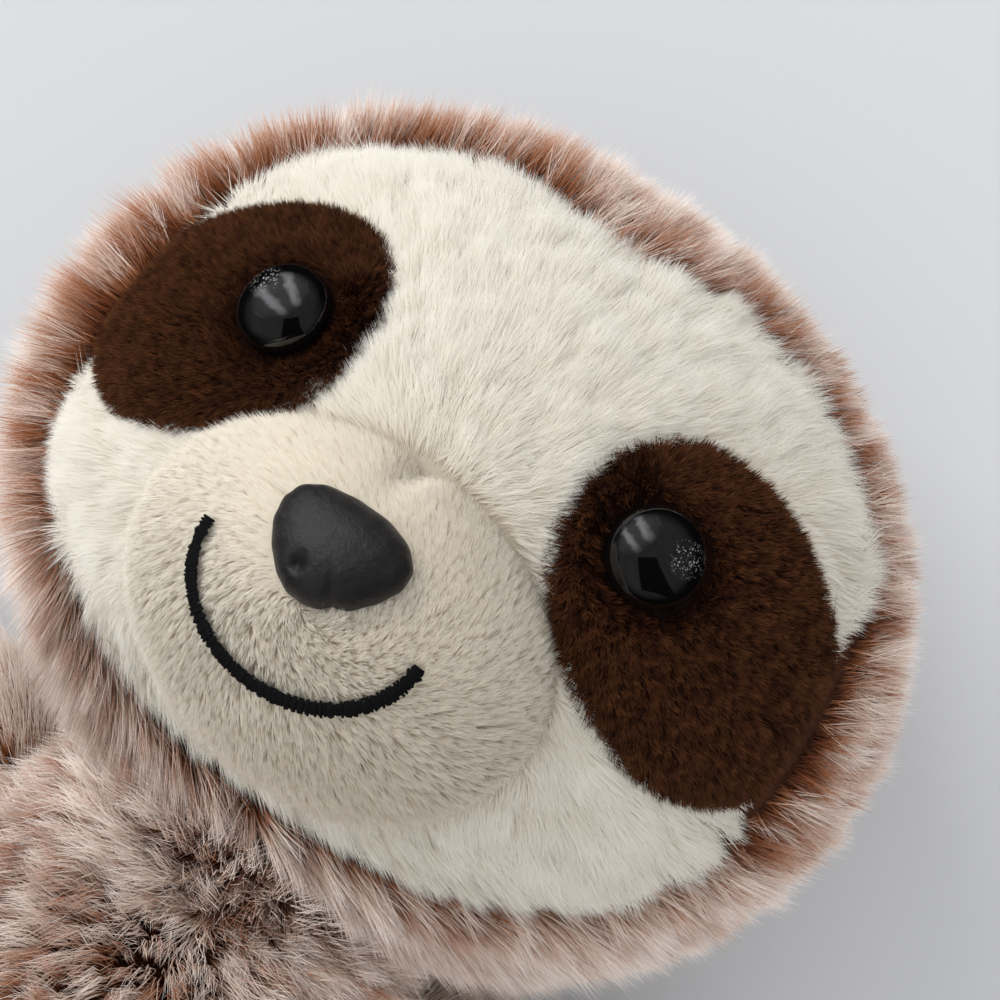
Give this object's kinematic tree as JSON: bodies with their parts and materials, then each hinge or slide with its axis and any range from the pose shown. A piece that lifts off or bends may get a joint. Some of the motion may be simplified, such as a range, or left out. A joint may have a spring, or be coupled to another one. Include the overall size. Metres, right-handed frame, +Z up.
{
  "type": "plush sloth",
  "caption": "Soft plush sloth lying on its back: pale face panel, dark eye patches, domed muzzle, safety eyes, long arms and legs with stuffed claws that turn at their seams.",
  "frame": {"origin": "middle of the toy's length and width, on the surface that it lies on", "axes": "+Z up out of the face and chest, +Y towards the crown of the head, +X towards the right of someone who looks down on the face with the crown at the top"},
  "size_m": [0.257, 0.3334, 0.1067],
  "materials": {
    "frosted_fur": "matte",
    "cream_pile": "matte",
    "brown_velboa": "matte",
    "cream_knit": "matte",
    "black_satin": "satin",
    "black_thread": "matte",
    "black_plastic": "gloss",
    "white_plastic": "satin",
    "white_filling": "matte",
    "calico": "matte"
  },
  "bodies": {
    "body": {"body_front": "frosted_fur", "body_back": "frosted_fur", "body_filling": "white_filling", "pellet_bag": "calico"},
    "head": {"head_fur_left": "frosted_fur", "head_fur_right": "frosted_fur", "face_panel": "cream_pile", "eye_patch_left": "brown_velboa", "eye_patch_right": "brown_velboa", "eye_left": "black_plastic", "eye_right": "black_plastic", "eye_washer_left": "white_plastic", "eye_washer_right": "white_plastic", "muzzle_panel": "cream_knit", "muzzle_filling": "white_filling", "nose_pad": "black_satin", "smile_embroidery": "black_thread", "head_filling": "white_filling"},
    "arm_left": {"arm_left_upper": "frosted_fur", "arm_left_under": "frosted_fur", "arm_left_filling": "white_filling", "arm_left_claw_1": "brown_velboa", "arm_left_claw_2": "brown_velboa", "arm_left_claw_3": "brown_velboa"},
    "arm_right": {"arm_right_upper": "frosted_fur", "arm_right_under": "frosted_fur", "arm_right_filling": "white_filling", "arm_right_claw_1": "brown_velboa", "arm_right_claw_2": "brown_velboa", "arm_right_claw_3": "brown_velboa"},
    "leg_left": {"leg_left_upper": "frosted_fur", "leg_left_under": "frosted_fur", "leg_left_filling": "white_filling", "leg_left_claw_1": "brown_velboa", "leg_left_claw_2": "brown_velboa", "leg_left_claw_3": "brown_velboa"},
    "leg_right": {"leg_right_upper": "frosted_fur", "leg_right_under": "frosted_fur", "leg_right_filling": "white_filling", "leg_right_claw_1": "brown_velboa", "leg_right_claw_2": "brown_velboa", "leg_right_claw_3": "brown_velboa"}
  },
  "joints": [
    {"name": "neck_nod", "type": "hinge", "parent": "body", "child": "head", "pos_m": [0, 0.06468, 0.0435], "axis": [1, 0, 0], "range_deg": [0, 25]},
    {"name": "shoulder_left", "type": "hinge", "parent": "body", "child": "arm_left", "pos_m": [-0.04393, 0.03447, 0.0365], "axis": [-1, 0, 0], "range_deg": [0, 120]},
    {"name": "shoulder_right", "type": "hinge", "parent": "body", "child": "arm_right", "pos_m": [0.04393, 0.03447, 0.0365], "axis": [-1, 0, 0], "range_deg": [0, 120]},
    {"name": "hip_left", "type": "hinge", "parent": "body", "child": "leg_left", "pos_m": [-0.03457, -0.06721, 0.0355], "axis": [-1, 0, 0], "range_deg": [0, 90]},
    {"name": "hip_right", "type": "hinge", "parent": "body", "child": "leg_right", "pos_m": [0.03457, -0.06721, 0.0355], "axis": [-1, 0, 0], "range_deg": [0, 90]}
  ]
}
